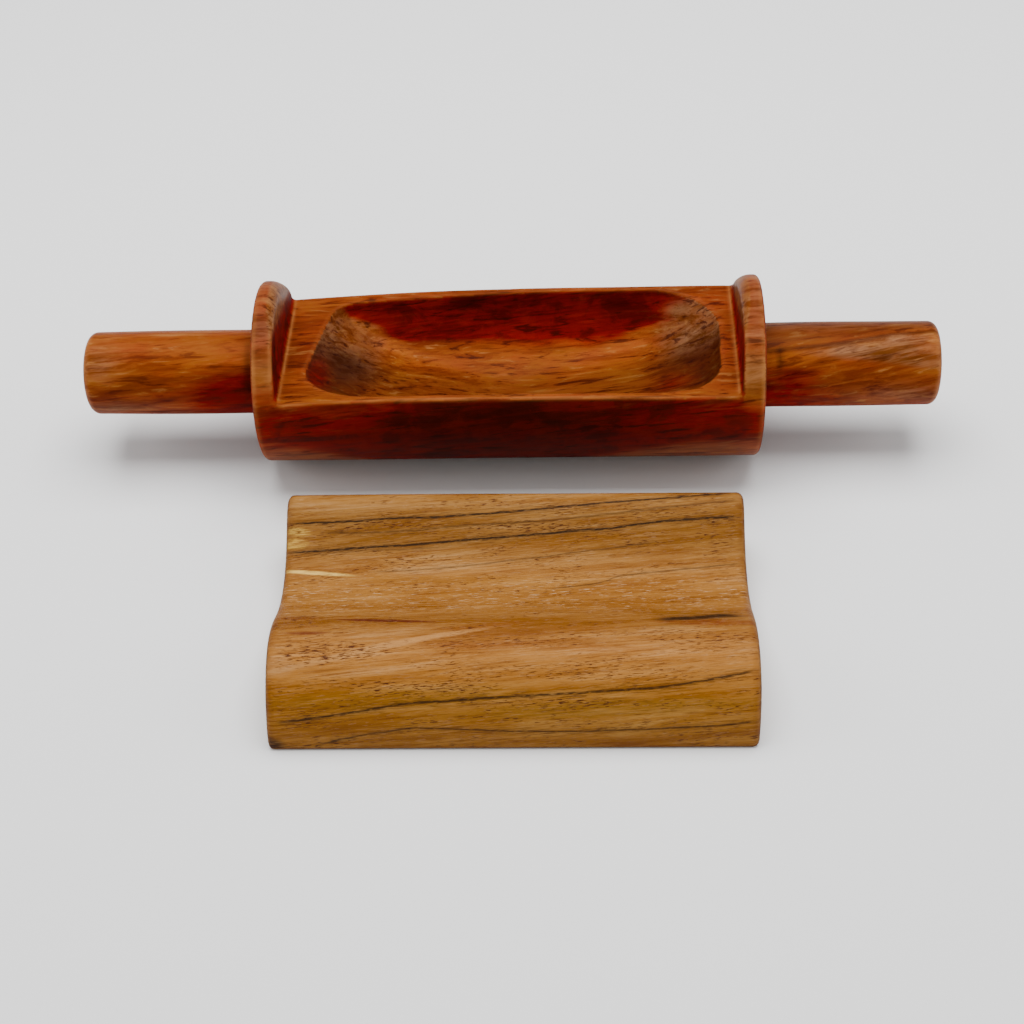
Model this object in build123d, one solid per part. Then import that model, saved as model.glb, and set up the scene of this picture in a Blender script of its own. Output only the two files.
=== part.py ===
from build123d import *
import math
import os

# Butter mold: a handled wooden drum with a carved trough, and a wave-shaped board that
# fits between the drum's cheeks.  Millimetres, +Z up, both pieces standing on the plane Z = 0,
# X along the drum, origin under the middle of the pair.

# ---- drum (turned cylinder, flatted between two round cheeks) ----
DRUM_RADIUS = 33.0
DRUM_LENGTH = 181.0            # over both cheeks
CHEEK_GAP = 165.0              # between the inner faces of the cheeks
DECK_HEIGHT = 13.0             # flat deck above the drum axis
CHEEK_COVE = 2.0               # cove where a cheek meets the deck
RIM_OUTER_ROUND = 1.6          # outer edge of each cheek
RIM_INNER_ROUND = 1.2          # inner edge of each cheek, above the deck
DRUM_AXIS_Y = 57.05
DRUM_AXIS_Z = DRUM_RADIUS      # the belly rests on the table

# ---- carved trough ----
TROUGH_LENGTH = 149.0
TROUGH_WIDTH = 56.0
TROUGH_DEPTH = 22.6
TROUGH_CORNER = 15.0           # plan radius of the opening's corners
TROUGH_END_RUN = 84.0          # half-length of the oval that each end's slope follows
TROUGH_SHIFT_X = 1.4
TROUGH_SHIFT_Y = 0.2

# ---- handles (turned, glued into blind mortises in the cheeks) ----
HANDLE_DIAMETER = 31.0
HANDLE_LENGTH = 64.5           # showing outside the cheek
HANDLE_END_ROUND = 3.0
TENON_DIAMETER = 16.0
TENON_LENGTH = 11.5
MORTISE_DEPTH = 12.0
GLUE_LINE = 0.05               # on the tenon's radius

# ---- wave-shaped board ----
BOARD_LENGTH = 159.5
BOARD_DEPTH = 91.6
BOARD_BACK_HEIGHT = 24.5       # back edge
COVE_FLOOR_HEIGHT = 13.4       # lowest line of the hollow
COVE_FLOOR_RUN = 31.0          # from the back edge to that line
CROWN_HEIGHT = 26.1            # highest line of the swell
CROWN_RUN = 66.8
NOSE_RUN = 87.6                # where the swell turns into the rounded nose
NOSE_HEIGHT = 12.6
BACK_EDGE_ROUND = 2.2
BOTTOM_EDGE_ROUND = 1.2
END_EDGE_ROUND = 1.0
BOARD_BACK_Y = DRUM_AXIS_Y - 55.5
BOARD_CENTRE_X = 2.2          # the loose board lies a little off the drum's middle


def deck_z():
    return DRUM_AXIS_Z + DECK_HEIGHT


def drum_body():
    """Cylinder on its side with the deck cut down between the cheeks."""
    body = Pos(0, DRUM_AXIS_Y, DRUM_AXIS_Z) * Rot(0, 90, 0) * Cylinder(DRUM_RADIUS, DRUM_LENGTH)
    rims = [e for e in body.edges().filter_by(GeomType.CIRCLE)]
    body = fillet(rims, RIM_OUTER_ROUND)
    top = DRUM_AXIS_Z + DRUM_RADIUS + 5.0
    height = top - deck_z()
    cut = Pos(0, DRUM_AXIS_Y, deck_z() + height / 2) * Box(CHEEK_GAP, 2 * DRUM_RADIUS + 10, height)
    low = [e for e in cut.edges().filter_by(Axis.Y) if e.center().Z < deck_z() + 0.1]
    cut = fillet(low, CHEEK_COVE)
    return body - cut


def round_inner_rims(body):
    """Ease the arc edges where the cheeks' inner faces meet their rims."""
    arcs = []
    for e in body.edges().filter_by(GeomType.CIRCLE):
        c = e.center()
        on_inner = abs(abs(c.X) - CHEEK_GAP / 2) < 0.01
        if on_inner and abs(e.radius - DRUM_RADIUS) < 0.01:
            arcs.append(e)
    return fillet(arcs, RIM_INNER_ROUND)


def trough_section(depth):
    """Rounded rectangle of the hollow at a depth below the deck (half of an oval bowl each way)."""
    k = depth / (TROUGH_DEPTH / 0.985)
    width = TROUGH_WIDTH * (1 - k ** 2) ** 0.53
    length = TROUGH_LENGTH - 2 * TROUGH_END_RUN * (1 - math.sqrt(1 - k ** 2))
    corner = min(TROUGH_CORNER, 0.46 * min(width, length))
    plane = Plane.XY.offset(deck_z() - depth)
    centre = Pos(TROUGH_SHIFT_X, DRUM_AXIS_Y + TROUGH_SHIFT_Y)
    return plane * centre * RectangleRounded(length, width, corner)


def trough_cutter():
    """The carved hollow: straight lip above the deck, then a bowl with long sloping ends."""
    shares = [0.0, 0.16, 0.34, 0.52, 0.69, 0.82, 0.91, 0.97, 1.0]
    bowl = loft([trough_section(TROUGH_DEPTH * s) for s in shares])
    lip = extrude(trough_section(0.0), amount=4.0, dir=(0, 0, 1))
    return bowl + lip


def mortise(side):
    """Blind round socket in the outer face of one cheek."""
    x = side * (DRUM_LENGTH / 2 - MORTISE_DEPTH / 2)
    return Pos(x, DRUM_AXIS_Y, DRUM_AXIS_Z) * Rot(0, 90, 0) * Cylinder(TENON_DIAMETER / 2, MORTISE_DEPTH)


def trough_drum():
    body = round_inner_rims(drum_body())
    body = body - trough_cutter()
    return body - mortise(-1) - mortise(1)


def handle(side):
    """Turned grip with its tenon, running outwards along X from one cheek."""
    grip = Cylinder(HANDLE_DIAMETER / 2, HANDLE_LENGTH)
    grip = Pos(0, 0, HANDLE_LENGTH / 2) * grip
    end = [e for e in grip.edges().filter_by(GeomType.CIRCLE) if e.center().Z > HANDLE_LENGTH - 0.1]
    grip = fillet(end, HANDLE_END_ROUND)
    tenon = Pos(0, 0, -TENON_LENGTH / 2) * Cylinder(TENON_DIAMETER / 2 - GLUE_LINE, TENON_LENGTH)
    tip = [e for e in tenon.edges().filter_by(GeomType.CIRCLE) if e.center().Z < -TENON_LENGTH + 0.1]
    tenon = chamfer(tip, 0.8)
    part = grip + tenon
    return Pos(side * DRUM_LENGTH / 2, DRUM_AXIS_Y, DRUM_AXIS_Z) * Rot(0, side * 90, 0) * part


def board_profile():
    """Wave section in the YZ plane: hollow behind, swell and rounded nose in front."""
    def p(run, height):
        return (BOARD_BACK_Y - run, height)

    start = p(BACK_EDGE_ROUND, BOARD_BACK_HEIGHT)
    nose_start = p(NOSE_RUN, NOSE_HEIGHT)
    wave = [
        start,
        p(9.3, 22.3),
        p(19.7, 16.0),
        p(COVE_FLOOR_RUN, COVE_FLOOR_HEIGHT),
        p(43.5, 16.2),
        p(54.9, 22.8),
        p(CROWN_RUN, CROWN_HEIGHT),
        p(75.0, 24.4),
        p(81.8, 20.1),
        nose_start,
    ]
    top = Spline(*wave, tangents=[(-1.0, 0.0), (-0.5, -0.866)])
    nose = TangentArc(nose_start, p(BOARD_DEPTH, 0), tangent=(-0.5, -0.866))
    base = Line(p(BOARD_DEPTH, 0), p(0, 0))
    back = Line(p(0, 0), p(0, BOARD_BACK_HEIGHT - BACK_EDGE_ROUND))
    corner = TangentArc(
        p(0, BOARD_BACK_HEIGHT - BACK_EDGE_ROUND), start, tangent=(0, 1))
    return make_face(Curve() + [top, nose, base, back, corner])


def shaping_board():
    section = Plane.YZ * board_profile()
    x0 = BOARD_CENTRE_X - BOARD_LENGTH / 2
    board = Pos(x0, 0, 0) * extrude(section, amount=BOARD_LENGTH, dir=(1, 0, 0))
    low = [e for e in board.edges().filter_by(Axis.X) if e.center().Z < 0.01]
    board = fillet(low, BOTTOM_EDGE_ROUND)
    ends = [e for e in board.edges() if abs(abs(e.center().X - BOARD_CENTRE_X) - BOARD_LENGTH / 2) < 0.01]
    return fillet(ends, END_EDGE_ROUND)


def write(node, shape, colour):
    shape.label = node
    shape.color = Color(*colour)
    export_step(shape, os.path.join("parts", node + ".step"))
    box = shape.bounding_box()
    print(node, "solids", len(shape.solids()), "volume", round(shape.volume, 1),
          "min", tuple(round(v, 2) for v in box.min), "max", tuple(round(v, 2) for v in box.max))


os.makedirs("parts", exist_ok=True)
write("trough_drum", trough_drum(), (0.45, 0.20, 0.08))
write("left_handle", handle(-1), (0.50, 0.24, 0.10))
write("right_handle", handle(1), (0.50, 0.24, 0.10))
write("shaping_board", shaping_board(), (0.66, 0.44, 0.24))
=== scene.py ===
import math

import bmesh
import bpy
import numpy as np
from mathutils import Matrix, Vector


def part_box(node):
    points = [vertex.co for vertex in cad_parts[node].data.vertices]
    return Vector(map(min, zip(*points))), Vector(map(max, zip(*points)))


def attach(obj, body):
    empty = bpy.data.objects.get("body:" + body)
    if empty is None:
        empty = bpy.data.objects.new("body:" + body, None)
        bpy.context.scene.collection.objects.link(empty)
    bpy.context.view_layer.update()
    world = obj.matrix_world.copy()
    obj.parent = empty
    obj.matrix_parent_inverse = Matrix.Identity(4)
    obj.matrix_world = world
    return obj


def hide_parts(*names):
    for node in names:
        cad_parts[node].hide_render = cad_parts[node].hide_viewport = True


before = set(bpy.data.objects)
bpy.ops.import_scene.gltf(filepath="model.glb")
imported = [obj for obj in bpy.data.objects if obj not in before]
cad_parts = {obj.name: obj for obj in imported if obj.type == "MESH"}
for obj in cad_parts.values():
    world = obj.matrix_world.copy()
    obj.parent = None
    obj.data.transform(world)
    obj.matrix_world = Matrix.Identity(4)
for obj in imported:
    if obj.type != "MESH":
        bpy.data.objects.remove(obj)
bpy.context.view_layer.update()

MM = 0.001
DRUM_LO, DRUM_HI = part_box("trough_drum")
BOARD_LO, BOARD_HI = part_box("shaping_board")
HANDLE_LO, HANDLE_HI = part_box("right_handle")
AXIS = (DRUM_LO + DRUM_HI) / 2                       # middle of the drum, on its axis
RADIUS = (DRUM_HI.z - DRUM_LO.z) / 2 / MM            # the rest of this block is in millimetres
HALF_LENGTH = (DRUM_HI.x - DRUM_LO.x) / 2 / MM
CHEEK = 8.0                                          # thickness of each cheek
HALF_GAP = HALF_LENGTH - CHEEK
DECK = 13.0                                          # flat of the drum above its axis
SOCKET_RADIUS = 8.0
SOCKET_END = 78.5                                    # bottom of each socket, from the drum's middle
TENON_RADIUS = 7.95
GRIP_RADIUS = (HANDLE_HI.z - HANDLE_LO.z) / 2 / MM
GRIP_END = HANDLE_HI.x / MM
TENON_END = HANDLE_LO.x / MM
CELL = 0.75                   # grid step of the meshes


# ---------------------------------------------------------------- solids as distance fields
def meet(a, b, r):
    """Where both solids are, with the outer edge between them rounded to radius r."""
    return np.hypot(np.maximum(a + r, 0), np.maximum(b + r, 0)) + np.minimum(np.maximum(a, b) + r, 0) - r


def join(a, b, r):
    """Where either solid is, with the inner corner between them filled to radius r."""
    return -meet(-a, -b, r)


def smooth(x, lo, hi):
    t = np.clip((x - lo) / (hi - lo), 0, 1)
    return t * t * (3 - 2 * t)


def ripple(x, y, z, size, seed):
    """Slow smooth wobble of about +-1, different for each seed."""
    total = 0
    for i in range(5):
        a = math.radians(137.5 * i + 61 * seed)
        b = math.radians(71.3 * i + 29 * seed)
        k = 2 * math.pi / size * (0.6 + 0.23 * i)
        dx, dy, dz = math.cos(a) * math.cos(b), math.sin(a) * math.cos(b), math.sin(b)
        total = total + np.sin(k * (x * dx + y * dy + z * dz) + 2.1 * i + seed)
    return total / 3.2


def surface(field, lo, hi, cell):
    """Vertices and quads of the zero level of a field, each vertex pulled on to the level."""
    axes = [np.arange(a - 1.5 * cell, b + 2.5 * cell, cell) for a, b in zip(lo, hi)]
    grid = np.meshgrid(*axes, indexing="ij")
    f = field(*grid)
    inside = f < 0
    n = np.array(f.shape) - 1
    weight = np.zeros(n)
    place = np.zeros((*n, 3))
    corners = [(i, j, k) for i in (0, 1) for j in (0, 1) for k in (0, 1)]

    def corner(array, c):
        return array[c[0]:n[0] + c[0], c[1]:n[1] + c[1], c[2]:n[2] + c[2]]

    for c in corners:
        for axis in range(3):
            if c[axis]:
                continue
            d = tuple(1 if m == axis else c[m] for m in range(3))
            a, b = corner(f, c), corner(f, d)
            cross = (a < 0) != (b < 0)
            t = np.where(cross, a / np.where(cross, a - b, 1), 0)
            weight += cross
            for m in range(3):
                place[..., m] += cross * (c[m] + (t if m == axis else 0))
    used = weight > 0
    index = np.full(n, -1)
    index[used] = np.arange(used.sum())
    origin = np.array([a[0] for a in axes])
    verts = origin + (np.argwhere(used) + place[used] / weight[used][:, None]) * cell
    quads = []
    for axis in range(3):
        u, v = (axis + 1) % 3, (axis + 2) % 3
        low = [slice(1, -1)] * 3
        low[axis] = slice(0, -1)
        high = list(low)
        high[axis] = slice(1, None)
        a, b = inside[tuple(low)], inside[tuple(high)]
        for cells, forward in ((a & ~b, True), (~a & b, False)):
            where = np.argwhere(cells)
            where[:, u] += 1
            where[:, v] += 1
            ring = []
            for du, dv in ((-1, -1), (0, -1), (0, 0), (-1, 0)):
                at = where.copy()
                at[:, u] += du
                at[:, v] += dv
                ring.append(index[at[:, 0], at[:, 1], at[:, 2]])
            quads.append(np.stack(ring if forward else ring[::-1], 1))
    quads = np.concatenate(quads)
    for _ in range(3):
        value, slope = gradient(field, verts)
        step = value / np.maximum((slope ** 2).sum(1), 0.05)
        verts = verts - np.clip(step, -0.6 * cell, 0.6 * cell)[:, None] * slope
    return verts, quads


def gradient(field, points, h=0.05):
    x, y, z = points.T
    slope = np.stack([field(x + h, y, z) - field(x - h, y, z),
                      field(x, y + h, z) - field(x, y - h, z),
                      field(x, y, z + h) - field(x, y, z - h)], 1) / (2 * h)
    return field(x, y, z), slope


def bend_of(field, points, reach):
    """How far the surface turns away (positive) or in (negative) within a short reach."""
    x, y, z = points.T
    _, n = gradient(field, points)
    n /= np.maximum(np.linalg.norm(n, axis=1), 1e-6)[:, None]
    total = 0
    for d in ((1, 0, 0), (-1, 0, 0), (0, 1, 0), (0, -1, 0), (0, 0, 1), (0, 0, -1)):
        total = total + field(x + d[0] * reach, y + d[1] * reach, z + d[2] * reach)
    return total / (6 * reach)


# ---------------------------------------------------------------- the drum
def deck_height(x, y):
    """The flat is planed by hand: it falls away towards the back of the left end."""
    fall = np.clip((34 - x) / 116, 0, 1.05) ** 2 * 5.6
    ends = 0.8 * np.clip(np.abs(x) / 82, 0, 1.2) ** 2 + 1.2 * np.clip((-x - 40) / 42, 0, 1.05) ** 1.6
    back = smooth(y, -34, 34) * 0.25 + np.clip((y + 30) / 62, 0, 1) * 0.75
    return DECK - fall * back - ends * (1 - back) + 0.12 * ripple(x, y, 0, 70, 3)


def slope_plane(x, y, z, at, turn, lean):
    """Signed distance past a leaning wall: `at` is a point (x, y, z) on it, `turn` the outward way it
    faces in plan (degrees from +X), `lean` how many mm it closes in for each mm of depth."""
    c, s = math.cos(math.radians(turn)), math.sin(math.radians(turn))
    out = (x - at[0]) * c + (y - at[1]) * s
    return (out + lean * (at[2] - z)) / math.hypot(1, lean)


def trough_distance(x, y, z):
    """The carved hollow: steep long walls, a round floor and two ramped ends cut in facets."""
    wob = 0.35 * ripple(x, y, z, 58, 5)
    back = slope_plane(x, y + 0.4 * ripple(x, 0, z, 120, 6), z, (0, 28.3, 13), 90, 0.34)
    front = slope_plane(x, y, z, (0, -28.0, 13), -90, 0.36)
    bowl = np.hypot(y, z - 23.2) - 32.6
    long_way = meet(meet(back, front, 5), bowl, 3.5) + 0.4 * wob
    left_top = slope_plane(x, y, z, (-73.4, -1.8, 10.6), 168, 0.9)
    left_ramp = slope_plane(x, y, z, (-67.6, 0, 7.0), 180, 1.78)
    left_foot = slope_plane(x, y, z, (-50.0, -4, -3.2), 196, 2.6)
    left = meet(meet(left_top, left_ramp, 1.6), left_foot, 3.0)
    right_top = slope_plane(x, y, z, (76.3, 1, 12.7), 0, 0.75)
    right_ramp = slope_plane(x, y, z, (70.6, 0, 6.6), 4, 1.75)
    right_facet = slope_plane(x, y, z, (72.0, 18.6, 12.9), 40, 1.0)
    right = meet(meet(meet(right_top, right_ramp, 1.8), right_facet, 2.5),
                 slope_plane(x, y, z, (52.0, -4, -3.4), -14, 2.6), 3.0)
    corner = 15 - 9.5 * smooth(y, -4, 18)
    hollow = meet(long_way, left + wob, corner)
    hollow = meet(hollow, right + wob, 15 - 7 * smooth(y, -4, 18))
    return np.maximum(hollow, np.abs(x) - SOCKET_END)


def drum_field(x, y, z):
    radial = np.hypot(y, z) - RADIUS - 0.12 * ripple(x, y, z, 95, 1)
    body = meet(radial, np.abs(x) - HALF_LENGTH, 1.9)
    above = join(z - deck_height(x, y), HALF_GAP - 0.25 * ripple(0, y, z, 60, 2) - np.abs(x), 2.2)
    near_cheek = smooth(np.abs(x), HALF_GAP - 3, HALF_GAP)
    upper_back = smooth(z + 0.35 * y, 22, 34)
    edge = 0.6 + near_cheek * (0.7 + 3.6 * upper_back)
    solid = meet(body, above, edge)
    solid = meet(solid, -trough_distance(x, y, z), 0.7)
    socket = np.maximum(np.hypot(y, z) - SOCKET_RADIUS, SOCKET_END - np.abs(x))
    return np.maximum(solid, -socket)


def mesh_object(name, verts, quads, attributes=None):
    mesh = bpy.data.meshes.new(name)
    mesh.from_pydata([tuple(v) for v in verts], [], [tuple(map(int, q)) for q in quads])
    mesh.update()
    mesh.shade_smooth()
    for key, values in (attributes or {}).items():
        layer = mesh.attributes.new(key, "FLOAT", "POINT")
        layer.data.foreach_set("value", np.asarray(values, np.float32))
    obj = bpy.data.objects.new(name, mesh)
    bpy.context.scene.collection.objects.link(obj)
    return obj


def spot(a, b, at, reach):
    """Soft oval spot of height 1: a and b are coordinates, at its middle and reach its half-sizes."""
    return np.exp(-(((a - at[0]) / reach[0]) ** 2 + ((b - at[1]) / reach[1]) ** 2))


def drum_tones(points, normal, bend):
    """Values at each point for the stained finish: how dark and red it is, with painted shade on forward
    and downward faces; how much painted shade and dark marks darken it; how much dusty grey and painted
    sheen pale it; how much worn edges and painted edge highlights lighten it.
    """
    x, y, z = points.T
    nx, ny, nz = normal.T
    far = np.abs(x)
    on_rim = (far > HALF_GAP + 0.4) & (z > 14)
    round_side = (np.abs(np.hypot(y, z) - RADIUS) < 0.6) & ((nz < 0.72) | on_rim)
    above = smooth(z, 9, 14)
    rim_share = above * (far > HALF_GAP + 0.4) + (1 - above) * smooth(far, HALF_GAP - 4, HALF_GAP + 7)
    rim = round_side * rim_share
    bevel = smooth(z + 0.35 * y, 21, 29) * smooth(far, HALF_GAP - 1.5, HALF_GAP) * (far < HALF_GAP + 4.2)
    face = smooth(np.abs(nx), 0.55, 0.9) * (far > HALF_GAP - 2.5)
    inner_bevel = bevel * smooth(np.abs(nx), 0.25, 0.6)
    hollow = (trough_distance(x, y, z) < 0.9) & (z < deck_height(x, y) - 0.5)

    stain_and_shade = 0.40 - 0.12 * smooth(-y, 22, 29) + 0.06 * smooth(x, 60, 76)
    climb = np.where(x > 0, smooth(x, 10, 72), smooth(-x, 38, 84))
    scuffed = smooth(-nz, 0.48 - 0.44 * climb, 0.84 - 0.40 * climb)
    scuffed = scuffed * np.where(x > 0, smooth(x, 0, 44), smooth(-x, 17, 73))
    corner = 0.08 * smooth(far, 45, 80) * smooth(nz, -0.35, 0.1)
    # On the round side the colour carries painted shade: deep red where it faces forward and down, lighter
    # where it faces up and towards the ends (painted light); the lighter scuffed zone low on the belly is
    # wear.
    stain_and_shade = np.where(round_side, 1.08 - 0.76 * scuffed - corner
                     - (0.12 + 0.14 * smooth(-x, 20, 60)) * smooth(nz, -0.1, 0.4), stain_and_shade)
    # Rims: painted shade on the parts that face sideways and down.
    low_left = 0.60 * smooth(-nz, -0.66, -0.48) * smooth(-x, 0, 10)
    lower = np.maximum(0.78 * smooth(-nz, -0.42, -0.12), low_left) - 0.40 * smooth(-nz, 0.0, 0.45)
    stain_and_shade = stain_and_shade * (1 - rim) + (0.08 + lower + 0.42 * smooth(z, 20, 27)) * rim
    # In the trough the back wall, facing forward away from the light, is painted dark red as shade; the end
    # walls a little darker; two darker patches at the ends.
    wall = smooth(-ny + 0.10 * ripple(0.25 * x, 2 * y, 2 * z, 22, 11), 0.50, 0.82)
    ends = smooth(np.abs(nx), 0.22, 0.45) * (1 - wall)
    patch = spot(x, y, (-69, -12), (4.5, 12)) + 0.7 * spot(x, y, (58, -12), (7, 7))
    stain_and_shade = np.where(hollow, 0.26 + 0.84 * wall + 0.12 * ends + 0.66 * patch, stain_and_shade)
    # The cheek faces are painted dark as shade, and the inner bevel at the cheeks' top back is painted
    # lighter as a highlight.
    stain_and_shade = stain_and_shade * (1 - face) + 1.0 * face
    stain_and_shade = np.clip(stain_and_shade - 0.9 * inner_bevel, 0, 1.25)

    # How far each point is darkened towards black: painted shade over the front of the belly, deepest
    # across its middle, eased on the upper left where it faces up (painted light); the deck a little darker
    # all over, and the rims a little darker towards their tops.
    lit_upper_left = smooth(nz, -0.05, 0.28) * smooth(-x, 8, 56)
    middle = 0.34 * (1 - smooth(np.abs(x + 2), 12, 72))
    belly = 0.24 * (1 - lit_upper_left) * (1 - 0.8 * scuffed) + middle + 0.06 * smooth(-nz, -0.2, 0.2)
    shade_and_marks = np.where(round_side, belly, 0.20 + 0.08 * smooth(x, 60, 76))
    shade_and_marks = shade_and_marks * (1 - rim) + 0.15 * smooth(z, 18, 25) * rim
    # In the trough: painted shade on the back wall, on the front of the floor and on the end ramps, less on
    # the darker patches.
    front = smooth(-y, -16, 2) * (1 - wall)
    ramps = (0.42 - 0.34 * patch - 0.10 * (x > 0)) * ends
    shade_and_marks = np.where(hollow, (0.18 + 0.12 * smooth(x, 20, 60)) * wall + 0.52 * front + ramps, shade_and_marks)
    # Painted shade under the drum where it faces down; the dot on the left cheek is a real dark mark.
    underside_shade = 0.40 * smooth(-nz, 0.66, 0.96)
    cheek_dot = 0.95 * (x < 0) * face * spot(y, z, (-13.3, 22.6), (1.2, 1.1))
    shade_and_marks = np.clip(shade_and_marks + underside_shade * round_side + cheek_dot, 0, 0.9)

    # Paler grey-olive: dusty grey together with painted sheen on the trough's end facets, painted highlight
    # on the cheeks' inner bevel, rubbing and painted sheen on the rims, and real scrapes low on the belly.
    left_facet = smooth(-x, 44, 58) * (1 - wall) * smooth(y, -16, 6)
    right_facet = smooth(x, 52, 62) * (1 - wall) * smooth(y, -6, 10)
    dust_and_sheen = np.where(hollow, 0.75 * (left_facet + right_facet) * (1 - patch.clip(0, 1)), 0.0)
    rim_rub_and_sheen = (0.41 + 0.24 * np.sign(x)) * smooth(z, 11, 19) * (1 - 0.6 * smooth(z, 21, 27))
    rim_rub_and_sheen = rim_rub_and_sheen + 0.24 * spot(z, 0, (30.2, 0), (3.4, 1))
    scrape = 0.22 * scuffed * smooth(far, 16, 44) * round_side
    dust_and_sheen = np.clip(dust_and_sheen + 0.6 * inner_bevel + rim * rim_rub_and_sheen + scrape, 0, 1)

    # Lighter edge lines: worn edges together with painted highlights on convex edges, a lighter line along
    # the deck's joins with the cheeks, and painted highlights with rubbing on the rims' outer edge.
    edge_wear_and_shading = np.clip(bend * 3.2, 0, 1)
    lip = np.abs(trough_distance(x, y, z)) < 1.2
    edge_wear_and_shading = np.where(lip, 0.22 * edge_wear_and_shading, edge_wear_and_shading)
    junction = np.exp(-((far - (HALF_GAP - 1.3)) / 0.45) ** 2) * (np.abs(z - deck_height(x, y)) < 1.6)
    rim_highlight_and_wear = 0.48 * spot(z, 0, (19, 0), (6, 1)) + 0.6 * spot(far, z, (HALF_LENGTH - 0.9, 16), (0.9, 8))
    edge_wear_and_shading = edge_wear_and_shading * (1 - 0.85 * bevel) + 0.75 * junction * (y > -28.5) + rim * rim_highlight_and_wear
    edge_wear_and_shading = np.clip(edge_wear_and_shading, 0, 1)
    return {"stain_and_shade": stain_and_shade, "shade_and_marks": shade_and_marks, "dust_and_sheen": dust_and_sheen, "edge_wear_and_shading": edge_wear_and_shading}


def build_drum():
    size = (HALF_LENGTH, RADIUS, RADIUS)
    verts, quads = surface(drum_field, [-s - 0.6 for s in size], [s + 0.6 for s in size], CELL)
    bend = bend_of(drum_field, verts, 0.9)
    _, normal = gradient(drum_field, verts, 0.3)
    normal /= np.maximum(np.linalg.norm(normal, axis=1), 1e-6)[:, None]
    tones = drum_tones(verts, normal, bend)
    # Painted shade in concave creases.
    tones["hollow"] = np.clip(-bend * 3.0 - 0.2, 0, 1)
    placed = verts * MM + np.array(AXIS)
    placed[:, 2] = np.maximum(placed[:, 2], 0.0)
    return mesh_object("drum_wood", placed, quads, tones)


# ---------------------------------------------------------------- the handles
def grip_tones(side, x, y, z):
    """Staining with painted shade, painted shade with dark marks, and dusty grey with painted sheen at a
    point of a handle. x is its distance from the drum's middle, and its place round the grip is the angle
    in degrees from the top towards the board."""
    angle = np.degrees(np.arctan2(-y, z))
    behind = np.abs(angle) > 125
    if side < 0:
        # Left grip: deeper red low near the drum and darker towards the board side, partly the wood and
        # partly painted shade; the pale spots and the dark line by the drum are marks on the wood.
        red = smooth(-x, -124, -98) * smooth(angle, 36, 62)
        stain_and_shade = 0.22 + 0.10 * smooth(-x, -112, -92) + 0.30 * smooth(angle, 52, 88) + 0.55 * red
        dust_and_sheen = 0.45 * spot(x, angle, (150, 35), (9, 26)) + 0.75 * spot(x, angle, (145, 106), (15, 13))
        shade_and_marks = 0.30 * red + 0.55 * spot(x, angle, (94.3, 38), (1.5, 40)) + 0.16 * smooth(-angle, -18, 6)
    else:
        top = np.interp(x, (93, 105, 120, 128, 137, 152), (30, 25, 19, 13, 6, 1))
        low = np.interp(x, (93, 105, 125, 139, 152), (30, 35, 42, 49, 56))
        band = smooth(angle, top - 3, top + 3) * smooth(-angle, -low - 6, -low + 6) * smooth(x, 98, 116)
        # Right grip: deeper red low near the drum and towards the board side, partly painted shade; paler
        # dusty grey with painted sheen over the back of the top; the band and the dark line at the top
        # follow the grain.
        red = smooth(-x, -124, -100) * smooth(angle, 46, 60)
        stain_and_shade = 0.28 + 0.08 * smooth(-angle, -30, 10) + 0.46 * red + 0.14 * smooth(angle, 60, 90)
        dust_and_sheen = (0.68 * band + 0.36 * smooth(-angle, -8, 14) + 0.5 * spot(x, angle, (143, 96), (17, 18)))
        shade_and_marks = (0.50 * smooth(-angle, -top - 2, -top + 14) + 0.62 * spot(angle, 0, (top, 0), (3.4, 1))
                + 0.55 * spot(x, angle, (97, 42), (1.2, 16)))
    stain_and_shade = np.where(behind, 0.5, stain_and_shade)
    # The bottom of each grip is painted darker as shade.
    return stain_and_shade, shade_and_marks + 0.5 * smooth(-z, 12.4, 15.0), np.clip(dust_and_sheen, 0, 0.9) * ~behind


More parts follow.
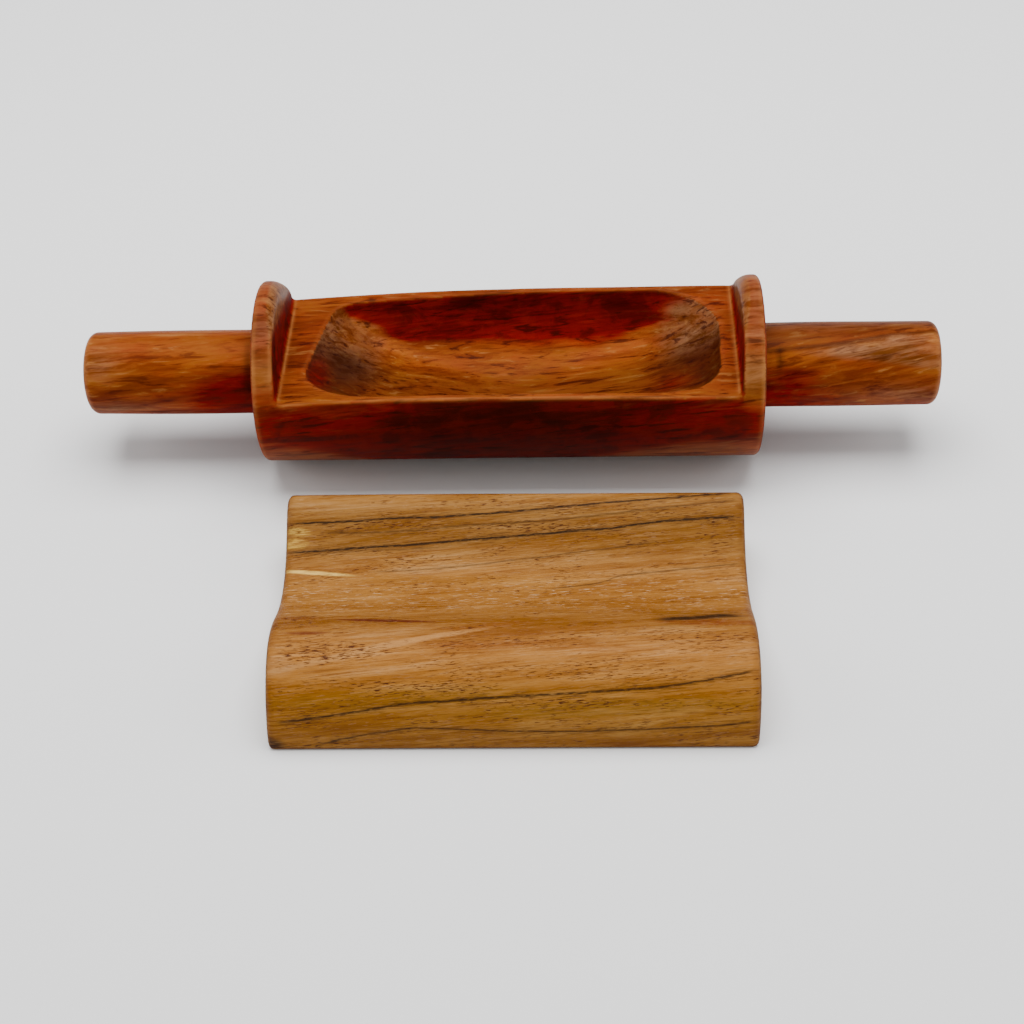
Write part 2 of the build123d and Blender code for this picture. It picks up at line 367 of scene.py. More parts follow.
def build_handle(name, side):
    start, end = HALF_LENGTH, GRIP_END
    outline = [(TENON_END, 0.0), (TENON_END, TENON_RADIUS - 0.8), (TENON_END + 0.8, TENON_RADIUS),
               (start - 0.01, TENON_RADIUS), (start, TENON_RADIUS), (start, GRIP_RADIUS - 0.35),
               (start + 0.12, GRIP_RADIUS - 0.1), (start + 0.5, GRIP_RADIUS)]
    stations = 60                                    # rings along the grip
    for i in range(1, stations):
        t = i / stations
        x = start + 0.5 + (end - 3.2 - start - 0.5) * t
        belly = 0.12 * math.sin(math.pi * t) - 0.2 * t
        outline.append((x, GRIP_RADIUS - 0.12 + belly))
    r = 3.2
    tip = GRIP_RADIUS - 0.32
    for i in range(0, 13):
        a = math.radians(90 * i / 12)
        outline.append((end - r + r * math.sin(a), tip - r + r * math.cos(a)))
    outline += [(end, tip - r - 2.0), (end, 7.0), (end, 3.0), (end, 0.0)]
    turns = 128                                      # points round the grip
    bm = bmesh.new()
    rings = []
    for x, rad in outline:
        if rad < 1e-6:
            rings.append([bm.verts.new((side * x, 0, 0))])
            continue
        ring = []
        for k in range(turns):
            a = 2 * math.pi * k / turns
            soft = 1 if x > start + 0.6 and rad > 10 else 0
            wob = soft * 0.10 * float(ripple(x, 14 * math.cos(a), 14 * math.sin(a), 42, 7 + side))
            ring.append(bm.verts.new((side * x, (rad + wob) * math.cos(a), (rad + wob) * math.sin(a))))
        rings.append(ring)
    for a, b in zip(rings, rings[1:]):
        for k in range(turns):
            m = (k + 1) % turns
            if len(a) == 1:
                face = (a[0], b[k], b[m])
            elif len(b) == 1:
                face = (a[k], b[0], a[m])
            else:
                face = (a[k], b[k], b[m], a[m])
            bm.faces.new(face)
    bmesh.ops.recalc_face_normals(bm, faces=bm.faces)
    edge_wear_and_shading = bm.verts.layers.float.new("edge_wear_and_shading")
    stain_and_shade = bm.verts.layers.float.new("stain_and_shade")
    shade_and_marks = bm.verts.layers.float.new("shade_and_marks")
    dust_and_sheen = bm.verts.layers.float.new("dust_and_sheen")
    bm.verts.layers.float.new("hollow")
    for v in bm.verts:
        x = abs(v.co.x)
        rad = math.hypot(v.co.y, v.co.z)
        # Lighter round the grip's end edge: worn edge and painted edge highlight.
        v[edge_wear_and_shading] = 0.6 * max(0.0, 1 - math.hypot(x - (end - 0.9), rad - (tip - 0.9)) / 2.2)
        v[stain_and_shade], v[shade_and_marks], v[dust_and_sheen] = (float(t) for t in grip_tones(side, x, v.co.y, v.co.z))
        # Painted shade on the shoulder where the grip meets the drum, and a darker end face.
        v[shade_and_marks] += 0.6 * float(smooth(start + 1.2 - x, 0, 1.0))
        v[shade_and_marks] += 0.35 * float(smooth(x - end + 0.5, 0, 0.5)) * float(smooth(rad, 9, 12))
    for v in bm.verts:
        v.co = v.co * MM + AXIS
    mesh = bpy.data.meshes.new(name)
    bm.to_mesh(mesh)
    bm.free()
    mesh.shade_smooth()
    obj = bpy.data.objects.new(name, mesh)
    bpy.context.scene.collection.objects.link(obj)
    mod = obj.modifiers.new("corners", "EDGE_SPLIT")
    mod.split_angle = math.radians(50)
    mod.use_edge_sharp = False
    return obj


# ---------------------------------------------------------------- the board
BOARD_DEPTH = (BOARD_HI.y - BOARD_LO.y) / MM
BOARD_HALF = (BOARD_HI.x - BOARD_LO.x) / 2 / MM
BOARD_X = (BOARD_LO.x + BOARD_HI.x) / 2
WAVE = ((0.0, 24.5), (2.3, 24.5), (5.7, 24.1), (9.3, 22.3), (14.5, 19.1), (19.7, 16.0), (25.3, 14.1),
        (31.0, 13.4), (37.2, 14.1), (43.5, 16.2), (49.2, 19.4), (54.9, 22.8), (60.8, 25.2), (66.8, 26.1),
        (71.2, 25.6), (75.0, 24.4), (79.0, 22.2), (81.8, 20.1), (84.9, 16.9), (87.6, 12.6), (89.8, 7.7),
        (91.1, 2.8), (91.6, 0.0))


def spline(points, count):
    """Smooth even-stepped curve through the points."""
    p = np.array(points, float)
    out = []
    for i in range(len(p) - 1):
        a = p[max(i - 1, 0)]
        b, c = p[i], p[i + 1]
        d = p[min(i + 2, len(p) - 1)]
        t = np.linspace(0, 1, count, endpoint=False)[:, None]
        out.append(0.5 * ((2 * b) + (c - a) * t + (2 * a - 5 * b + 4 * c - d) * t ** 2
                          + (3 * b - a - 3 * c + d) * t ** 3))
    out.append(p[-1:])
    return np.concatenate(out)


def section_distance():
    """Signed distance to the board's wave section on a fine table, run from the back edge by height."""
    top = spline(WAVE, 12)
    base = np.stack([np.linspace(top[-1, 0], 0, 90), np.zeros(90)], 1)
    back = np.stack([np.zeros(30), np.linspace(0, WAVE[0][1], 30)], 1)
    loop = np.concatenate([top, base[1:], back[1:-1]])
    step = 0.4
    runs = np.arange(-4, 97, step)
    heights = np.arange(-4, 30, step)
    px, pz = np.meshgrid(runs, heights, indexing="ij")
    a = loop
    b = np.roll(loop, -1, axis=0)
    best = np.full(px.shape, 1e9)
    inside = np.zeros(px.shape, bool)
    for (ax, az), (bx, bz) in zip(a, b):
        ex, ez = bx - ax, bz - az
        length = ex * ex + ez * ez
        if length < 1e-12:
            continue
        t = np.clip(((px - ax) * ex + (pz - az) * ez) / length, 0, 1)
        best = np.minimum(best, np.hypot(px - ax - t * ex, pz - az - t * ez))
        if az != bz:
            hit = ((az > pz) != (bz > pz)) & (px < (bx - ax) * (pz - az) / (bz - az) + ax)
            inside ^= hit
    return runs, heights, np.where(inside, -best, best), step


RUNS, HEIGHTS, TABLE, STEP = section_distance()


def girth(run, height):
    """Distance round the section from its top back edge: forwards over the wave, and negative
    down the back face and under the base, for points on or near it."""
    path = np.concatenate([[(BOARD_DEPTH, 0.0), (0.0, 0.0)], spline(WAVE, 12)])
    along = np.concatenate([[0], np.cumsum(np.hypot(*np.diff(path, axis=0).T))])
    along -= along[2]
    best = np.full(len(run), 1e9)
    out = np.zeros(len(run))
    for a, b, start in zip(path, path[1:], along):
        e = b - a
        length = float(e @ e)
        if length < 1e-12:
            continue
        t = np.clip(((run - a[0]) * e[0] + (height - a[1]) * e[1]) / length, 0, 1)
        d = np.hypot(run - a[0] - t * e[0], height - a[1] - t * e[1])
        closer = d < best
        best = np.where(closer, d, best)
        out = np.where(closer, start + t * math.sqrt(length), out)
    return out


def section(run, height):
    i = np.clip((run - RUNS[0]) / STEP, 0, len(RUNS) - 1.001)
    j = np.clip((height - HEIGHTS[0]) / STEP, 0, len(HEIGHTS) - 1.001)
    a, b = i.astype(int), j.astype(int)
    s, t = i - a, j - b
    return ((TABLE[a, b] * (1 - s) + TABLE[a + 1, b] * s) * (1 - t)
            + (TABLE[a, b + 1] * (1 - s) + TABLE[a + 1, b + 1] * s) * t)


def board_field(x, y, z):
    run, height = -y, z
    profile = section(run, height)
    ends = np.abs(x) - BOARD_HALF
    soft = 1.1 + 0.5 * smooth(height, 4, 14)
    solid = meet(profile + 0.9, ends + 0.9, soft) - 0.9
    return solid


def build_board():
    verts, quads = surface(board_field, (-81, -BOARD_DEPTH - 1.2, -0.6), (81, 0.6, 27.2), CELL)
    bend = bend_of(board_field, verts, 1.0)
    _, normal = gradient(board_field, verts, 0.3)
    cut = smooth(np.abs(normal[:, 0]) / np.maximum(np.linalg.norm(normal, axis=1), 1e-6), 0.5, 0.85)
    x, y, z = verts.T
    along = girth(-y, z)
    share = np.clip(z / 24.5, 0, 1)
    y = y - 0.0055 * x * smooth(y, -95, 0)
    z = z + share * (0.18 * ripple(x, y, 0, 90, 4) - 0.25 * (x / 80) ** 2)
    x = x + 0.2 * ripple(0, y, z, 60, 9) * smooth(np.abs(x), 70, 80)
    placed = np.stack([x * MM + BOARD_X, y * MM + BOARD_HI.y, np.maximum(z, 0) * MM], 1)
    return mesh_object("board_wood", placed, quads,
                       {"edge_wear_and_shading": np.clip(bend * 3.2, 0, 1), "girth": along / 100, "cut": cut})


drum = build_drum()
left = build_handle("left_grip", -1)
right = build_handle("right_grip", 1)
board = build_board()


# ---------------------------------------------------------------- materials
class Nodes:
    """Short helpers for building one material's node tree."""

    def __init__(self, name):
        self.material = bpy.data.materials.new(name)
        self.material.use_nodes = True
        self.tree = self.material.node_tree
        self.tree.nodes.clear()
        self.output = self.tree.nodes.new("ShaderNodeOutputMaterial")

    def put(self, socket, value):
        if isinstance(value, bpy.types.NodeSocket):
            self.tree.links.new(value, socket)
        elif value is not None:
            socket.default_value = value

    def math(self, op, a, b=None, c=None, clamp=False):
        node = self.tree.nodes.new("ShaderNodeMath")
        node.operation = op
        node.use_clamp = clamp
        for socket, value in zip(node.inputs, (a, b, c)):
            self.put(socket, value)
        return node.outputs[0]

    def between(self, value, lo, hi, to_lo=0.0, to_hi=1.0, ease=True):
        node = self.tree.nodes.new("ShaderNodeMapRange")
        node.interpolation_type = "SMOOTHSTEP" if ease else "LINEAR"
        for socket, v in zip(node.inputs, (value, lo, hi, to_lo, to_hi)):
            self.put(socket, v)
        return node.outputs[0]

    def mix(self, share, a, b, blend="MIX"):
        node = self.tree.nodes.new("ShaderNodeMix")
        node.data_type = "RGBA"
        node.blend_type = blend
        node.clamp_factor = True
        self.put(node.inputs[0], share)
        self.put(node.inputs[6], rgb(a))
        self.put(node.inputs[7], rgb(b))
        return node.outputs[2]

    def ramp(self, value, stops):
        node = self.tree.nodes.new("ShaderNodeValToRGB")
        node.color_ramp.interpolation = "EASE"
        ramp = node.color_ramp
        while len(ramp.elements) < len(stops):
            ramp.elements.new(0.5)
        for element, (at, colour) in zip(ramp.elements, stops):
            element.position = at
            element.color = rgb(colour)
        self.put(node.inputs[0], value)
        return node.outputs[0]

    def place(self, scale, turn=(0, 0, 0), shift=(0, 0, 0)):
        """Object coordinates shifted, turned and then multiplied by scale."""
        coord = self.tree.nodes.new("ShaderNodeTexCoord")
        node = self.tree.nodes.new("ShaderNodeMapping")
        node.vector_type = "TEXTURE"
        node.inputs["Location"].default_value = [v / 10 for v in shift]
        node.inputs["Rotation"].default_value = [math.radians(a) for a in turn]
        node.inputs["Scale"].default_value = [1 / v for v in scale]
        self.tree.links.new(coord.outputs["Object"], node.inputs["Vector"])
        return node.outputs[0]

    def noise(self, vector, scale=1.0, detail=3.0, rough=0.55, distort=0.0):
        node = self.tree.nodes.new("ShaderNodeTexNoise")
        self.put(node.inputs["Vector"], vector)
        node.inputs["Scale"].default_value = scale
        node.inputs["Detail"].default_value = detail
        node.inputs["Roughness"].default_value = rough
        node.inputs["Distortion"].default_value = distort
        return node.outputs[0]

    def axes(self, vector):
        node = self.tree.nodes.new("ShaderNodeSeparateXYZ")
        self.put(node.inputs[0], vector)
        return node.outputs

    def attribute(self, name):
        node = self.tree.nodes.new("ShaderNodeAttribute")
        node.attribute_name = name
        return node.outputs["Fac"]

    def bump(self, height, distance, strength):
        node = self.tree.nodes.new("ShaderNodeBump")
        node.inputs["Distance"].default_value = distance
        node.inputs["Strength"].default_value = strength
        self.put(node.inputs["Height"], height)
        return node.outputs[0]

    def finish(self, colour, roughness, normal, specular, tint=(1, 1, 1)):
        shader = self.tree.nodes.new("ShaderNodeBsdfPrincipled")
        self.put(shader.inputs["Base Color"], colour)
        self.put(shader.inputs["Roughness"], roughness)
        self.put(shader.inputs["Normal"], normal)
        shader.inputs["IOR"].default_value = 1.5
        shader.inputs["Specular IOR Level"].default_value = specular
        shader.inputs["Specular Tint"].default_value = (*tint, 1.0)
        self.tree.links.new(shader.outputs[0], self.output.inputs["Surface"])
        return self.material


def rgb(value):
    if isinstance(value, tuple):
        return (*value[:3], 1.0)
    return value


def dark_wood(name, turn, seed, flecks):
    """Red-brown stained wood under a thin varnish. The mesh's own values say where it is darker red, partly
    staining and partly painted shade; where painted shade and dark marks darken it; where dusty grey and
    painted sheen pale it; where worn edges and painted highlights lighten it; and where creases get painted
    shade.
    """
    n = Nodes(name)
    slow = n.noise(n.place((13, 60, 60), turn, (seed, 0, 0)), 1.0, 4, 0.6, 0.9)
    streak = n.noise(n.place((30, 300, 300), turn, (seed, 2, 0)), 1.0, 5, 0.68, 0.5)
    fleck = n.noise(n.place((62, 430, 430), turn, (seed, 0, 3)), 1.0, 4, 0.60, 0.6)
    fibre = n.noise(n.place((110, 1400, 1400), turn, (seed, 0, 3)), 1.0, 3, 0.6)
    blotch = n.noise(n.place((30, 40, 40), turn, (seed, seed, 0)), 1.0, 5, 0.65)
    tone = n.math("ADD", n.math("MULTIPLY", slow, 0.42), n.math("MULTIPLY", streak, 0.58))
    # The light ramp is the orange-stained wood as lit; the dark ramp is the same wood painted deep red as
    # in shade.
    light = n.ramp(tone, [(0.30, (0.085, 0.008, 0.0008)), (0.43, (0.165, 0.031, 0.0014)),
                          (0.55, (0.235, 0.060, 0.0050)), (0.70, (0.320, 0.108, 0.0200))])
    dark = n.ramp(tone, [(0.28, (0.030, 0.0002, 0.0001)), (0.43, (0.104, 0.0003, 0.0002)),
                         (0.54, (0.195, 0.0008, 0.0003)), (0.68, (0.310, 0.0060, 0.0006))])
    stain_and_shade = n.attribute("stain_and_shade")
    broken = n.math("ADD", stain_and_shade, n.math("MULTIPLY", n.math("SUBTRACT", blotch, 0.5), 0.85))
    broken = n.math("ADD", broken, n.math("MULTIPLY", n.math("SUBTRACT", 0.5, fleck), 0.70))
    share = n.between(broken, 0.12, 0.86, ease=False)
    colour = n.mix(share, light, dark)
    # Dusty grey together with painted sheen.
    dust_and_sheen = n.math("MULTIPLY", n.attribute("dust_and_sheen"), n.between(blotch, 0.32, 0.58, 0.25, 0.95))
    dust_and_sheen_tone = n.ramp(streak, [(0.36, (0.075, 0.027, 0.003)), (0.62, (0.270, 0.145, 0.070))])
    colour = n.mix(dust_and_sheen, colour, dust_and_sheen_tone)
    mottle = n.noise(n.place((75, 110, 110), turn, (seed, 5, 1)), 1.0, 4, 0.62, 0.4)
    smudge = n.math("MULTIPLY", n.between(mottle, 0.50, 0.62, 0.0, 0.52), n.between(stain_and_shade, 0.70, 1.02))
    colour = n.mix(smudge, colour, (0.022, 0.0008, 0.0002))
    ember = n.math("MULTIPLY", n.between(mottle, 0.46, 0.36, 0.0, 0.40), n.between(stain_and_shade, 0.70, 1.02))
    colour = n.mix(ember, colour, (0.260, 0.0060, 0.0006))
    pale = n.math("MULTIPLY", n.between(fleck, 0.57, 0.72, 0.0, 0.55),
                  n.between(stain_and_shade, 0.2, 1.0, 1.0, 0.06))
    colour = n.mix(pale, colour, (0.36, 0.145, 0.040))
    colour = n.mix(n.between(fleck, 0.46, 0.33, 0.0, flecks), colour, (0.026, 0.0010, 0.0003))
    colour = n.mix(n.between(fibre, 0.58, 0.70, 0.0, 0.40), colour, (0.028, 0.002, 0.0005))
    # Painted shade and dark marks, towards black.
    colour = n.mix(n.attribute("shade_and_marks"), colour, (0.012, 0.001, 0.0002))
    # Painted shade in the creases.
    corners = n.math("MULTIPLY", n.attribute("hollow"), 0.6, clamp=True)
    colour = n.mix(corners, colour, (0.040, 0.002, 0.0006))
    # Worn edges and painted edge highlights, lighter and pinkish.
    edge = n.math("MULTIPLY", n.attribute("edge_wear_and_shading"), n.between(blotch, 0.34, 0.60, 0.20, 0.72), clamp=True)
    colour = n.mix(edge, colour, (0.40, 0.155, 0.040))
    rough = n.math("ADD", n.between(streak, 0.3, 0.7, 0.40, 0.50), n.between(share, 0.3, 1.0, 0.0, 0.25))
    height = n.math("ADD", n.math("MULTIPLY", fleck, 0.6), n.math("MULTIPLY", fibre, 0.4))
    normal = n.bump(height, 0.00020, 0.5)
    return n.finish(colour, rough, normal, specular=0.08, tint=(1.0, 0.48, 0.30))


# dark lines of the board's grain: points (x, distance along the wave) in mm, half-width, strength
STREAKS = (
    (((-79, 11.9), (-59, 11.1), (-43, 10.2), (-28, 9.8), (2, 7.6), (28, 5.1), (59, 2.3), (76, 0.8)),
     0.40, 1.00),
    (((-68, 14.8), (-41, 14.8), (-13, 12.4), (12, 11.1), (35, 8.6), (78, 4.0)), 0.42, 0.55),
    (((-80, 22.1), (-59, 20.9), (-28, 18.9), (2, 16.4), (28, 14.4), (58, 11.2), (78, 10.2)), 0.46, 1.00),
    (((-75, 23.5), (-55, 21.6), (-34, 20.9), (-22, 20.4)), 0.26, 0.50),
    (((-50, 29.8), (-22, 27.9), (3, 24.9), (23, 22.3), (50, 18.9)), 0.28, 0.60),
    (((12, 37.7), (31, 34.1), (35, 32.2), (49, 30.2), (79, 26.9)), 0.32, 0.65),
    (((47, 61.9), (54, 61.4), (61, 60.8), (68, 59.0), (76, 59.7)), 1.15, 1.00),
    (((-77, 100.4), (-60, 98.2), (-36, 94.3), (-16, 92.7), (12, 91.2), (38, 89.7), (58, 87.6),
      (79, 83.3)), 0.46, 0.90),
    (((-64, 109.3), (-40, 103.6), (-31, 102.7), (2, 104.0), (26, 104.0), (49, 103.1), (79, 100.9)),
     0.36, 0.80),
)
# coloured patches of the board: middle (x, along), reach (x, along), slope, strength, colour
PATCHES = (
    ((-77, 14.6), (6, 1.6), 0.10, 0.60, (0.66, 0.40, 0.070)),
    ((-78, 19.0), (6, 1.9), -0.04, 0.70, (0.66, 0.38, 0.060)),
    ((-69, 29.9), (13, 0.8), 0.085, 0.95, (0.68, 0.43, 0.100)),
    ((-44, 75.6), (38, 1.4), -0.235, 0.91, (0.395, 0.185, 0.054)),
    ((-75, 81.5), (5, 3.5), 0.0, 0.35, (0.430, 0.225, 0.090)),
    ((14, 18.8), (28, 2.2), -0.085, 0.85, (0.175, 0.055, 0.002)),
    ((-20, 33.0), (45, 2.0), 0.02, 0.45, (0.230, 0.088, 0.004)),
    ((-8, 66.0), (16, 1.6), -0.12, 0.60, (0.160, 0.042, 0.003)),
    ((-10, 74.6), (18, 1.6), -0.02, 0.70, (0.180, 0.048, 0.003)),
    ((22, 76.0), (24, 1.4), 0.03, 0.50, (0.190, 0.055, 0.004)),
    ((64, 64.2), (17, 2.0), 0.03, 0.85, (0.130, 0.020, 0.001)),
    ((-42, 62.1), (17, 1.0), 0.08, 1.00, (0.058, 0.0020, 0.001)),
    ((-70, 59.5), (7, 1.6), 0.0, 0.70, (0.120, 0.028, 0.003)),
    ((-67, 69.0), (7, 0.9), 0.0, 0.95, (0.100, 0.018, 0.002)),
    ((61, 61.2), (14, 1.2), -0.10, 0.95, (0.022, 0.006, 0.001)),
    ((-40, 92.0), (42, 3.5), -0.04, 0.55, (0.200, 0.085, 0.003)),
    ((30, 96.0), (46, 3.0), -0.04, 0.50, (0.190, 0.090, 0.006)),
    ((-79, 110.5), (5, 5.0), 0.0, 1.00, (0.012, 0.003, 0.001)),
)
# where the short dark pores crowd together: middle (x, along), reach (x, along), strength
CROWDS = (
    ((-57, 76.3), (17, 3.2), 0.34),
    ((-66, 59.5), (9, 2.6), 0.20),
    ((-30, 89.0), (24, 2.6), 0.24),
    ((20, 85.2), (16, 1.8), 0.28),
    ((24, 94.0), (14, 1.6), 0.26),
    ((60, 72.0), (18, 3.0), 0.20),
    ((4, 13.6), (24, 1.4), 0.26),
    ((-50, 12.6), (22, 1.6), 0.18),
)


def light_wood(name):
    """Open-grained board: tan and orange bands, dark gum lines, short pores, darker edges, and brightness
    along the wave that is partly its own bands and partly painted light and shade.
    """
    n = Nodes(name)
    along = n.math("MULTIPLY", n.attribute("girth"), 100.0)
    x = n.math("MULTIPLY", n.math("SUBTRACT", n.axes(n.place((1, 1, 1)))[0], BOARD_X), 1000.0)
    flow = n.math("ADD", along, n.math("MULTIPLY", x, 0.085))
    combine = n.tree.nodes.new("ShaderNodeCombineXYZ")
    n.put(combine.inputs[0], x)
    n.put(combine.inputs[1], flow)
    grain = combine.outputs[0]

    def scaled(sx, sy, shift=0.0):
        mapping = n.tree.nodes.new("ShaderNodeMapping")
        mapping.inputs["Scale"].default_value = (sx, sy, 1)
        mapping.inputs["Location"].default_value = (shift, shift * 0.37, shift)
        n.put(mapping.inputs["Vector"], grain)
        return mapping.outputs[0]

    def centred(value):
        return n.math("SUBTRACT", value, 0.5)

    def oval(dx, dy, reach):
        """Squared distance from the middle of an oval, 1 at its rim."""
        return n.math("ADD", n.math("POWER", n.math("DIVIDE", dx, reach[0]), 2.0),
                      n.math("POWER", n.math("DIVIDE", dy, reach[1]), 2.0))

    slow = n.noise(scaled(0.014, 0.080), 1.0, 4, 0.58, 0.8)
    band = n.noise(scaled(0.018, 0.34, 7), 1.0, 4, 0.62, 0.7)
    streak = n.noise(scaled(0.045, 1.15, 3), 1.0, 5, 0.66, 0.5)
    fibre = n.noise(scaled(0.130, 3.4, 5), 1.0, 4, 0.65, 0.3)
    pore = n.noise(scaled(0.34, 3.0, 11), 1.0, 2, 0.5, 0.4)
    silver = n.noise(scaled(0.22, 2.4, 19), 1.0, 3, 0.6, 0.5)
    crowd = n.noise(scaled(0.040, 0.20, 13), 1.0, 3, 0.6)
    wobble = n.noise(scaled(0.07, 0.07, 2), 1.0, 4, 0.65)
    tone = n.math("ADD", n.math("MULTIPLY", slow, 0.5), n.math("MULTIPLY", band, 0.5))
    colour = n.ramp(tone, [(0.32, (0.130, 0.038, 0.0020)), (0.43, (0.185, 0.067, 0.0060)),
                           (0.52, (0.240, 0.101, 0.0180)), (0.63, (0.300, 0.146, 0.0440))])
    # Brightness along the wave: partly the board's own bands, partly painted light and shade on its slopes.
    level = n.ramp(n.between(along, 0, 112, 0, 1, ease=False),
                   [(0.00, (1.14, 1.20, 1.30)), (0.15, (0.93, 0.90, 0.74)), (0.28, (1.18, 1.15, 1.06)),
                    (0.42, (0.98, 0.92, 0.78)), (0.55, (0.78, 0.70, 0.52)), (0.72, (1.38, 1.30, 1.20)),
                    (0.86, (1.30, 1.22, 0.74)), (1.00, (1.16, 1.12, 0.72))])
    colour = n.mix(1.0, colour, level, "MULTIPLY")
    colour = n.mix(n.between(streak, 0.50, 0.68, 0.0, 0.65), colour, (0.130, 0.034, 0.0015))
    colour = n.mix(n.between(streak, 0.45, 0.30, 0.0, 0.35), colour, (0.320, 0.165, 0.055))
    for (cx, cg), reach, slope, strength, tint in PATCHES:
        dx = n.math("SUBTRACT", x, float(cx))
        off = n.math("SUBTRACT", n.math("SUBTRACT", along, float(cg)), n.math("MULTIPLY", dx, slope))
        off = n.math("ADD", off, n.math("MULTIPLY", centred(wobble), 1.2 * reach[1]))
        far = oval(n.math("ABSOLUTE", dx), n.math("ABSOLUTE", off), reach)
        least = 0.65 if strength > 0.9 else 0.12     # share left between the fibres
        grainy = n.between(silver if tint[1] > 0.3 else fibre, 0.40, 0.56, least, 1.0)
        share = n.math("MULTIPLY", n.between(far, 1.6, 0.2, 0.0, strength), grainy)
        colour = n.mix(share, colour, tint)
    colour = n.mix(n.between(fibre, 0.54, 0.68, 0.0, 0.50), colour, (0.115, 0.030, 0.002))
    colour = n.mix(n.between(fibre, 0.42, 0.30, 0.0, 0.35), colour, (0.360, 0.200, 0.085))
    rise = n.math("MULTIPLY", n.between(along, 30, 40), n.between(along, 60, 50))
    rise = n.math("ADD", n.math("MULTIPLY", rise, 0.5), 0.16)
    glint = n.math("MULTIPLY", n.between(silver, 0.585, 0.66), rise)
    colour = n.mix(glint, colour, (0.520, 0.330, 0.180))
    packed = crowd
    for (cx, cg), reach, strength in CROWDS:
        far = oval(n.math("SUBTRACT", x, float(cx)), n.math("SUBTRACT", along, float(cg)), reach)
        packed = n.math("ADD", packed, n.between(far, 1.5, 0.2, 0.0, strength))
    least = n.between(packed, 0.6, 0.9, 0.56, 0.50)
    dots = n.math("MULTIPLY", n.between(pore, least, n.math("ADD", least, 0.08)),
                  n.between(packed, 0.44, 0.62, 0.12, 0.95))
    colour = n.mix(dots, colour, (0.050, 0.009, 0.002))
    shadow = None
    for points, half, strength in STREAKS:
        curve = n.tree.nodes.new("ShaderNodeFloatCurve")
        line = curve.mapping.curves[0]
        while len(line.points) < len(points):
            line.points.new(0.5, 0.5)
        for point, (px, pg) in zip(line.points, points):
            point.location = ((px + 80) / 160, pg / 120)
        curve.mapping.update()
        n.put(curve.inputs["Value"], n.between(x, -80, 80, 0, 1, ease=False))
        off = n.math("SUBTRACT", along, n.math("MULTIPLY", curve.outputs[0], 120.0))
        off = n.math("ADD", off, n.math("MULTIPLY", centred(wobble), 1.3))
        gap = n.math("ABSOLUTE", off)
        reach = n.between(x, points[0][0] - 2, points[0][0] + 6, 0, 1)
        reach = n.math("MULTIPLY", reach, n.between(x, points[-1][0] + 2, points[-1][0] - 6, 0, 1))
        core = n.math("MULTIPLY", n.between(gap, half * 1.7, half * 0.3),
                      n.between(pore, 0.34, 0.50, 0.45, 1.0))
        halo = n.math("MULTIPLY", n.between(gap, half * 6.5, half),
                      n.between(fibre, 0.48, 0.62, 0.05, 0.65))
        dark = n.math("MULTIPLY", n.math("MULTIPLY", reach, strength), n.math("MAXIMUM", core, halo))
        shadow = dark if shadow is None else n.math("MAXIMUM", shadow, dark)
    colour = n.mix(shadow, colour, (0.018, 0.006, 0.001))
    ring = n.noise(n.place((1, 240, 620), (16, 0, 0)), 1.0, 4, 0.6, 1.0)
    vessel = n.noise(n.place((1, 1500, 1500)), 1.0, 2, 0.5)
    end_grain = n.ramp(ring, [(0.36, (0.105, 0.032, 0.003)), (0.50, (0.175, 0.070, 0.010)),
                              (0.64, (0.250, 0.120, 0.030))])
    end_grain = n.mix(n.between(vessel, 0.57, 0.66, 0.0, 0.7), end_grain, (0.045, 0.011, 0.002))
    colour = n.mix(n.attribute("cut"), colour, end_grain)
    # Darker along the convex edges.
    edge = n.math("MULTIPLY", n.attribute("edge_wear_and_shading"), n.between(crowd, 0.35, 0.6, 0.55, 1.0), clamp=True)
    colour = n.mix(edge, colour, (0.058, 0.006, 0.001))
    rough = n.between(streak, 0.3, 0.7, 0.48, 0.64)
    height = n.math("SUBTRACT", n.math("MULTIPLY", fibre, 0.6), n.math("MULTIPLY", dots, 0.4))
    normal = n.bump(height, 0.00022, 0.6)
    return n.finish(colour, rough, normal, specular=0.13, tint=(1.0, 0.85, 0.65))


drum.data.materials.append(dark_wood("drum_stained_wood", (0, -7, 0), 0, 0.78))
left.data.materials.append(dark_wood("left_stained_wood", (0, -2, 3), 4, 0.50))
right.data.materials.append(dark_wood("right_stained_wood", (0, -7, 9), 8, 0.55))
board.data.materials.append(light_wood("board_oiled_wood"))

for piece, node, body, slot in ((drum, "trough_drum", "drum", "dark_wood"),
                                (left, "left_handle", "drum", "handle_wood"),
                                (right, "right_handle", "drum", "handle_wood"),
                                (board, "shaping_board", "board", "light_wood")):
    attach(piece, body)
    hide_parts(node)


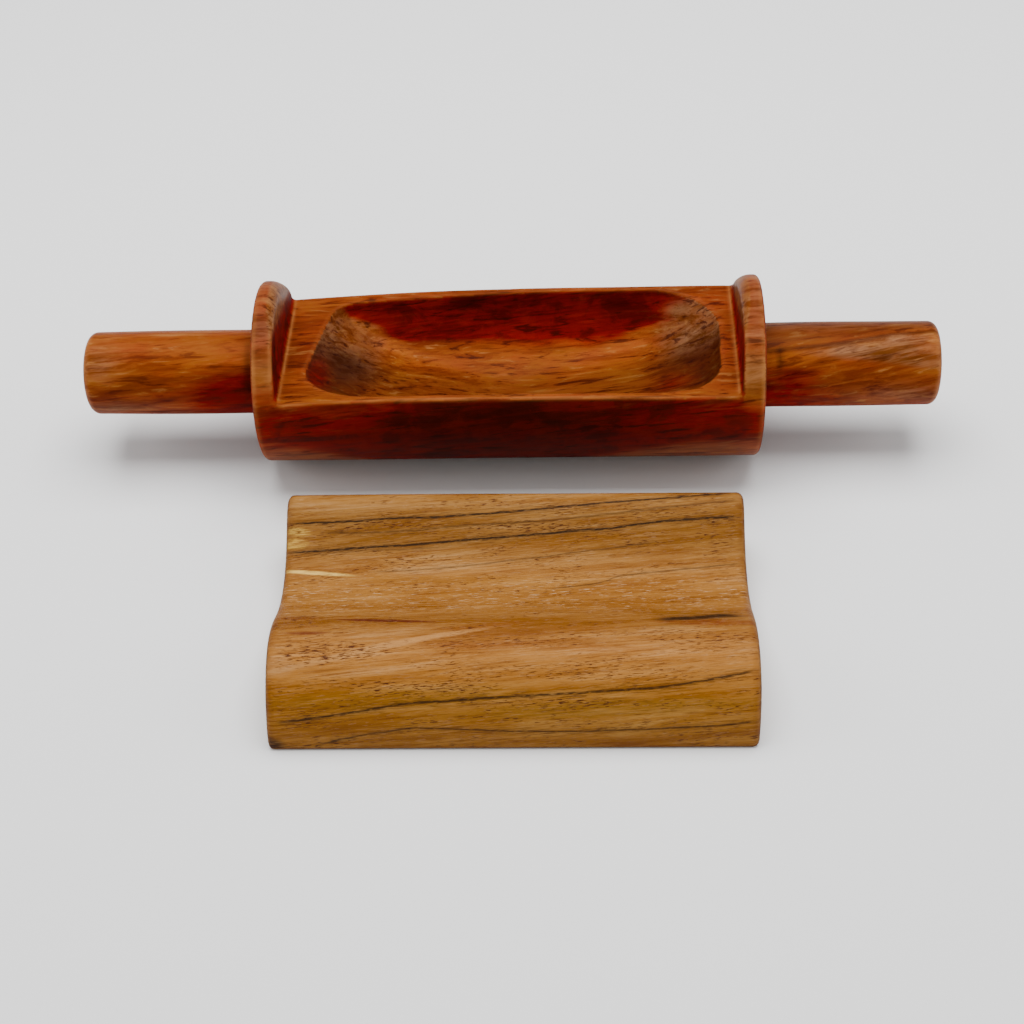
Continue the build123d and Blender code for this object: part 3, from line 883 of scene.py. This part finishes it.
# ---------------------------------------------------------------- table, light and camera
def build_floor():
    bm = bmesh.new()
    size = 3.0
    corners = [bm.verts.new((x * size, y * size, -0.0002)) for x, y in ((-1, -1), (1, -1), (1, 1), (-1, 1))]
    bm.faces.new(corners)
    mesh = bpy.data.meshes.new("table_top")
    bm.to_mesh(mesh)
    bm.free()
    obj = bpy.data.objects.new("table_top", mesh)
    bpy.context.scene.collection.objects.link(obj)
    n = Nodes("table_paint")
    obj.data.materials.append(n.finish((0.86, 0.86, 0.86, 1.0), 0.7, None, specular=0.2))


def soft_light(name, place, aim, size, power, colour=(1, 1, 1)):
    data = bpy.data.lights.new(name, "AREA")
    data.shape = "RECTANGLE"
    data.size, data.size_y = size
    data.energy = power
    data.color = colour
    obj = bpy.data.objects.new(name, data)
    bpy.context.scene.collection.objects.link(obj)
    obj.location = place
    obj.rotation_mode = "QUATERNION"
    obj.rotation_quaternion = (Vector(aim) - Vector(place)).to_track_quat("-Z", "Y")


build_floor()
soft_light("top_soft", (0.0, 0.25, 0.95), (0, 0, 0), (1.0, 0.7), 18)
soft_light("left_soft", (-1.0, 0.05, 0.55), (0, 0, 0.03), (0.7, 0.7), 4)
soft_light("right_soft", (1.0, 0.05, 0.55), (0, 0, 0.03), (0.7, 0.7), 4)
soft_light("front_fill", (0.0, -1.0, 0.9), (0, -0.05, 0.02), (0.8, 0.6), 1.2)

world = bpy.data.worlds.new("studio")
bpy.context.scene.world = world
world.use_nodes = True
world.node_tree.nodes["Background"].inputs[0].default_value = (1, 1, 1, 1)
world.node_tree.nodes["Background"].inputs[1].default_value = 0.38


def build_camera():
    data = bpy.data.cameras.new("camera")
    data.lens = 61.75
    data.sensor_width = 36.0
    obj = bpy.data.objects.new("camera", data)
    bpy.context.scene.collection.objects.link(obj)
    down, yaw, roll = (math.radians(a) for a in (46.741, 2.83, -2.625))
    ahead = Vector((-math.sin(yaw) * math.cos(down), math.cos(yaw) * math.cos(down), -math.sin(down)))
    across = Vector((math.cos(yaw), math.sin(yaw), 0))
    up = across.cross(ahead)
    right_way = across * math.cos(roll) + up * math.sin(roll)
    up = -across * math.sin(roll) + up * math.cos(roll)
    basis = Matrix((right_way, up, -ahead)).transposed()
    obj.location = (AXIS.x + 0.02198, AXIS.y - 0.48073, 0.46714)
    obj.rotation_mode = "QUATERNION"
    obj.rotation_quaternion = basis.to_quaternion()
    bpy.context.scene.camera = obj


build_camera()
